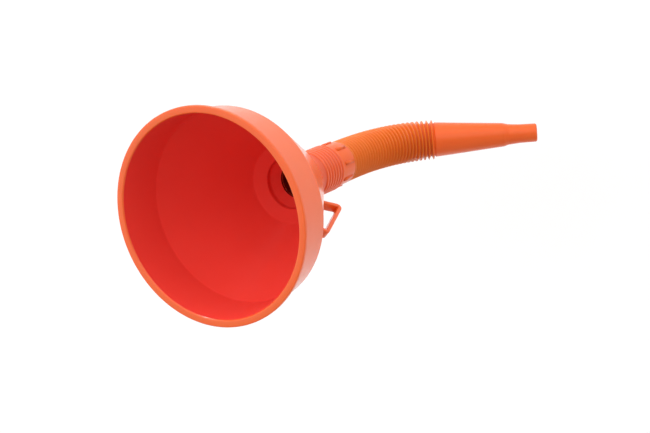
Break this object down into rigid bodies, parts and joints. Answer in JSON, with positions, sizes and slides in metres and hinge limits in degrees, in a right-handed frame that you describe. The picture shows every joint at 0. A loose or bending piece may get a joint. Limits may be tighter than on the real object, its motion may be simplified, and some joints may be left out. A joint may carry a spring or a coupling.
{
  "type": "funnel",
  "caption": "Plastic funnel with an upright band, a steep cone, a strap handle and a ribbed flexible spout that bends, turns and pulls out of the neck.",
  "frame": {"origin": "centre of the mouth, in the plane of the lip's top face", "axes": "+Z out of the mouth along the bowl's axis, +X the way the spout bends, +Y across the bend"},
  "size_m": [0.1866, 0.16, 0.3095],
  "materials": {
    "bowl_plastic": "satin translucent moulded polyethylene",
    "spout_plastic": "satin translucent moulded polyethylene"
  },
  "bodies": {
    "bowl": {"funnel_bowl": "bowl_plastic", "funnel_neck": "bowl_plastic", "neck_web_1": "bowl_plastic", "neck_web_2": "bowl_plastic", "neck_web_3": "bowl_plastic", "neck_web_4": "bowl_plastic", "handle_strap": "bowl_plastic"},
    "collar": {"spout_collar": "spout_plastic"},
    "ring_01": {"hose_ring_01": "spout_plastic"},
    "ring_02": {"hose_ring_02": "spout_plastic"},
    "ring_03": {"hose_ring_03": "spout_plastic"},
    "ring_04": {"hose_ring_04": "spout_plastic"},
    "ring_05": {"hose_ring_05": "spout_plastic"},
    "ring_06": {"hose_ring_06": "spout_plastic"},
    "ring_07": {"hose_ring_07": "spout_plastic"},
    "ring_08": {"hose_ring_08": "spout_plastic"},
    "ring_09": {"hose_ring_09": "spout_plastic"},
    "ring_10": {"hose_ring_10": "spout_plastic"},
    "ring_11": {"hose_ring_11": "spout_plastic"},
    "ring_12": {"hose_ring_12": "spout_plastic"},
    "ring_13": {"hose_ring_13": "spout_plastic"},
    "ring_14": {"hose_ring_14": "spout_plastic"},
    "ring_15": {"hose_ring_15": "spout_plastic"},
    "ring_16": {"hose_ring_16": "spout_plastic"},
    "ring_17": {"hose_ring_17": "spout_plastic"},
    "ring_18": {"hose_ring_18": "spout_plastic"},
    "ring_19": {"hose_ring_19": "spout_plastic"},
    "ring_20": {"hose_ring_20": "spout_plastic"},
    "ring_21": {"hose_ring_21": "spout_plastic"},
    "ring_22": {"hose_ring_22": "spout_plastic"},
    "ring_23": {"hose_ring_23": "spout_plastic"},
    "ring_24": {"hose_ring_24": "spout_plastic"},
    "ring_25": {"hose_ring_25": "spout_plastic"},
    "ring_26": {"hose_ring_26": "spout_plastic"},
    "ring_27": {"hose_ring_27": "spout_plastic"},
    "nozzle": {"hose_ring_28": "spout_plastic", "spout_nozzle": "spout_plastic"}
  },
  "joints": [
    {"name": "spout_pull", "type": "slide", "parent": "bowl", "child": "collar", "axis": [0, 0, -1], "range_m": [0, 0.042]},
    {"name": "hose_turn", "type": "hinge", "parent": "collar", "child": "ring_01", "pos_m": [0, 0, -0.1715], "axis": [0, 0, 1], "continuous": true},
    {"name": "hose_bend_01", "type": "hinge", "parent": "ring_01", "child": "ring_02", "pos_m": [0, 0, -0.17544], "axis": [0, -1, 0], "range_deg": [-0.3014, 0.1878]},
    {"name": "hose_bend_02", "type": "hinge", "parent": "ring_02", "child": "ring_03", "pos_m": [0.00002, 0, -0.17908], "axis": [0, -1, 0], "range_deg": [-0.447, 0.2767]},
    {"name": "hose_bend_03", "type": "hinge", "parent": "ring_03", "child": "ring_04", "pos_m": [0.00006, 0, -0.18272], "axis": [0, -1, 0], "range_deg": [-0.5927, 0.3656]},
    {"name": "hose_bend_04", "type": "hinge", "parent": "ring_04", "child": "ring_05", "pos_m": [0.00015, 0, -0.18636], "axis": [0, -1, 0], "range_deg": [-0.74, 0.45]},
    {"name": "hose_bend_05", "type": "hinge", "parent": "ring_05", "child": "ring_06", "pos_m": [0.00028, 0, -0.19], "axis": [0, -1, 0], "range_deg": [-0.88, 0.54]},
    {"name": "hose_bend_06", "type": "hinge", "parent": "ring_06", "child": "ring_07", "pos_m": [0.00046, 0, -0.19363], "axis": [0, -1, 0], "range_deg": [-1.03, 0.63]},
    {"name": "hose_bend_07", "type": "hinge", "parent": "ring_07", "child": "ring_08", "pos_m": [0.00071, 0, -0.19726], "axis": [0, -1, 0], "range_deg": [-1.18, 0.72]},
    {"name": "hose_bend_08", "type": "hinge", "parent": "ring_08", "child": "ring_09", "pos_m": [0.00104, 0, -0.20089], "axis": [0, -1, 0], "range_deg": [-1.32, 0.81]},
    {"name": "hose_bend_09", "type": "hinge", "parent": "ring_09", "child": "ring_10", "pos_m": [0.00144, 0, -0.20451], "axis": [0, -1, 0], "range_deg": [-1.47, 0.9]},
    {"name": "hose_bend_10", "type": "hinge", "parent": "ring_10", "child": "ring_11", "pos_m": [0.00194, 0, -0.20811], "axis": [0, -1, 0], "range_deg": [-1.61, 0.99]},
    {"name": "hose_bend_11", "type": "hinge", "parent": "ring_11", "child": "ring_12", "pos_m": [0.00254, 0, -0.2117], "axis": [0, -1, 0], "range_deg": [-1.76, 1.08]},
    {"name": "hose_bend_12", "type": "hinge", "parent": "ring_12", "child": "ring_13", "pos_m": [0.00325, 0, -0.21527], "axis": [0, -1, 0], "range_deg": [-1.9, 1.17]},
    {"name": "hose_bend_13", "type": "hinge", "parent": "ring_13", "child": "ring_14", "pos_m": [0.00407, 0, -0.21882], "axis": [0, -1, 0], "range_deg": [-2.05, 1.25]},
    {"name": "hose_bend_14", "type": "hinge", "parent": "ring_14", "child": "ring_15", "pos_m": [0.00502, 0, -0.22233], "axis": [0, -1, 0], "range_deg": [-2.2, 1.34]},
    {"name": "hose_bend_15", "type": "hinge", "parent": "ring_15", "child": "ring_16", "pos_m": [0.00611, 0, -0.22581], "axis": [0, -1, 0], "range_deg": [-2.34, 1.43]},
    {"name": "hose_bend_16", "type": "hinge", "parent": "ring_16", "child": "ring_17", "pos_m": [0.00733, 0, -0.22923], "axis": [0, -1, 0], "range_deg": [-2.49, 1.52]},
    {"name": "hose_bend_17", "type": "hinge", "parent": "ring_17", "child": "ring_18", "pos_m": [0.00871, 0, -0.23261], "axis": [0, -1, 0], "range_deg": [-2.63, 1.61]},
    {"name": "hose_bend_18", "type": "hinge", "parent": "ring_18", "child": "ring_19", "pos_m": [0.01023, 0, -0.23591], "axis": [0, -1, 0], "range_deg": [-2.78, 1.7]},
    {"name": "hose_bend_19", "type": "hinge", "parent": "ring_19", "child": "ring_20", "pos_m": [0.01191, 0, -0.23914], "axis": [0, -1, 0], "range_deg": [-2.92, 1.79]},
    {"name": "hose_bend_20", "type": "hinge", "parent": "ring_20", "child": "ring_21", "pos_m": [0.01376, 0, -0.24228], "axis": [0, -1, 0], "range_deg": [-3.07, 1.88]},
    {"name": "hose_bend_21", "type": "hinge", "parent": "ring_21", "child": "ring_22", "pos_m": [0.01577, 0, -0.24531], "axis": [0, -1, 0], "range_deg": [-3.21, 1.97]},
    {"name": "hose_bend_22", "type": "hinge", "parent": "ring_22", "child": "ring_23", "pos_m": [0.01794, 0, -0.24823], "axis": [0, -1, 0], "range_deg": [-3.36, 2.05]},
    {"name": "hose_bend_23", "type": "hinge", "parent": "ring_23", "child": "ring_24", "pos_m": [0.02029, 0, -0.25101], "axis": [0, -1, 0], "range_deg": [-3.51, 2.14]},
    {"name": "hose_bend_24", "type": "hinge", "parent": "ring_24", "child": "ring_25", "pos_m": [0.02279, 0, -0.25365], "axis": [0, -1, 0], "range_deg": [-3.65, 2.23]},
    {"name": "hose_bend_25", "type": "hinge", "parent": "ring_25", "child": "ring_26", "pos_m": [0.02547, 0, -0.25613], "axis": [0, -1, 0], "range_deg": [-3.8, 2.32]},
    {"name": "hose_bend_26", "type": "hinge", "parent": "ring_26", "child": "ring_27", "pos_m": [0.02829, 0, -0.25842], "axis": [0, -1, 0], "range_deg": [-3.94, 2.41]},
    {"name": "hose_bend", "type": "hinge", "parent": "ring_27", "child": "nozzle", "pos_m": [0.03127, 0, -0.26051], "axis": [0, -1, 0], "range_deg": [-4.08, 2.49]}
  ],
  "couplings": [
    {"joint": "hose_bend_01", "follows": "hose_bend", "ratio": 0.071429},
    {"joint": "hose_bend_02", "follows": "hose_bend", "ratio": 0.10714},
    {"joint": "hose_bend_03", "follows": "hose_bend", "ratio": 0.14286},
    {"joint": "hose_bend_04", "follows": "hose_bend", "ratio": 0.17857},
    {"joint": "hose_bend_05", "follows": "hose_bend", "ratio": 0.21429},
    {"joint": "hose_bend_06", "follows": "hose_bend", "ratio": 0.25},
    {"joint": "hose_bend_07", "follows": "hose_bend", "ratio": 0.28571},
    {"joint": "hose_bend_08", "follows": "hose_bend", "ratio": 0.32143},
    {"joint": "hose_bend_09", "follows": "hose_bend", "ratio": 0.35714},
    {"joint": "hose_bend_10", "follows": "hose_bend", "ratio": 0.39286},
    {"joint": "hose_bend_11", "follows": "hose_bend", "ratio": 0.42857},
    {"joint": "hose_bend_12", "follows": "hose_bend", "ratio": 0.46429},
    {"joint": "hose_bend_13", "follows": "hose_bend", "ratio": 0.5},
    {"joint": "hose_bend_14", "follows": "hose_bend", "ratio": 0.53571},
    {"joint": "hose_bend_15", "follows": "hose_bend", "ratio": 0.57143},
    {"joint": "hose_bend_16", "follows": "hose_bend", "ratio": 0.60714},
    {"joint": "hose_bend_17", "follows": "hose_bend", "ratio": 0.64286},
    {"joint": "hose_bend_18", "follows": "hose_bend", "ratio": 0.67857},
    {"joint": "hose_bend_19", "follows": "hose_bend", "ratio": 0.71429},
    {"joint": "hose_bend_20", "follows": "hose_bend", "ratio": 0.75},
    {"joint": "hose_bend_21", "follows": "hose_bend", "ratio": 0.78571},
    {"joint": "hose_bend_22", "follows": "hose_bend", "ratio": 0.82143},
    {"joint": "hose_bend_23", "follows": "hose_bend", "ratio": 0.85714},
    {"joint": "hose_bend_24", "follows": "hose_bend", "ratio": 0.89286},
    {"joint": "hose_bend_25", "follows": "hose_bend", "ratio": 0.92857},
    {"joint": "hose_bend_26", "follows": "hose_bend", "ratio": 0.96429}
  ]
}
